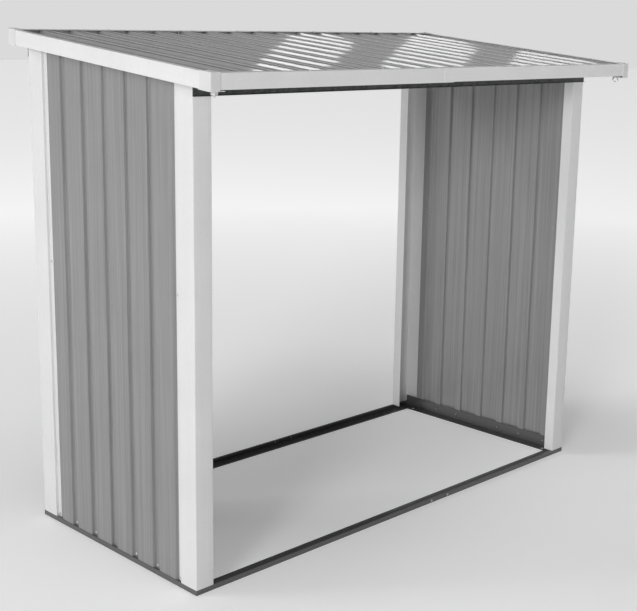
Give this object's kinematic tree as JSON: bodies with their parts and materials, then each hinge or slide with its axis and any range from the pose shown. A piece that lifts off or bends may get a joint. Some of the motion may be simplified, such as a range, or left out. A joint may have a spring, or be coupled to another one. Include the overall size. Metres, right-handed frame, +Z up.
{
  "type": "firewood log rack",
  "caption": "Open-fronted steel firewood store with profiled side walls, a sloping profiled roof, folded corner posts and a low base frame.",
  "frame": {"origin": "on the ground, under the centre of the roof outline", "axes": "+X along the width, the open front faces -Y, +Z up"},
  "size_m": [1.72, 0.863, 1.4142],
  "materials": {
    "base_paint": "dark grey paint, satin",
    "post_paint": "off-white paint, satin",
    "wall_paint": "mid grey paint, satin with fine vertical roll marks",
    "roof_paint": "mid grey paint, glossy",
    "trim_paint": "off-white paint, satin",
    "galvanised_steel": "bare galvanised, bright and mottled",
    "cap_plastic": "off-white moulded plastic",
    "zinc_fasteners": "zinc plated"
  },
  "bodies": {
    "root": {"front_base_rail_left": "base_paint", "front_base_rail_right": "base_paint", "rear_base_rail_left": "base_paint", "rear_base_rail_right": "base_paint", "left_base_rail": "base_paint", "right_base_rail": "base_paint", "front_left_post": "post_paint", "front_right_post": "post_paint", "rear_left_post": "post_paint", "rear_right_post": "post_paint", "left_wall_sheet": "wall_paint", "right_wall_sheet": "wall_paint", "left_top_rail": "galvanised_steel", "right_top_rail": "galvanised_steel", "front_header_left": "galvanised_steel", "front_header_right": "galvanised_steel", "rear_header_left": "galvanised_steel", "rear_header_right": "galvanised_steel", "roof_sheet_left": "roof_paint", "roof_sheet_middle": "roof_paint", "roof_sheet_right": "roof_paint", "front_fascia_left": "trim_paint", "front_fascia_right": "trim_paint", "rear_fascia_left": "trim_paint", "rear_fascia_right": "trim_paint", "left_rake_trim": "trim_paint", "right_rake_trim": "trim_paint", "front_left_cap": "cap_plastic", "front_right_cap": "cap_plastic", "rear_left_cap": "cap_plastic", "rear_right_cap": "cap_plastic", "wall_foot_screws_left": "zinc_fasteners", "wall_foot_screws_right": "zinc_fasteners", "post_flange_screws_left": "zinc_fasteners", "post_flange_screws_right": "zinc_fasteners", "header_bolts": "zinc_fasteners", "header_nuts": "zinc_fasteners", "base_splice_screws": "zinc_fasteners", "front_fascia_screws": "zinc_fasteners", "rear_fascia_screws": "zinc_fasteners", "cap_screws": "zinc_fasteners", "cap_bolts": "zinc_fasteners", "cap_washers": "zinc_fasteners", "cap_nuts": "zinc_fasteners"}
  },
  "joints": []
}
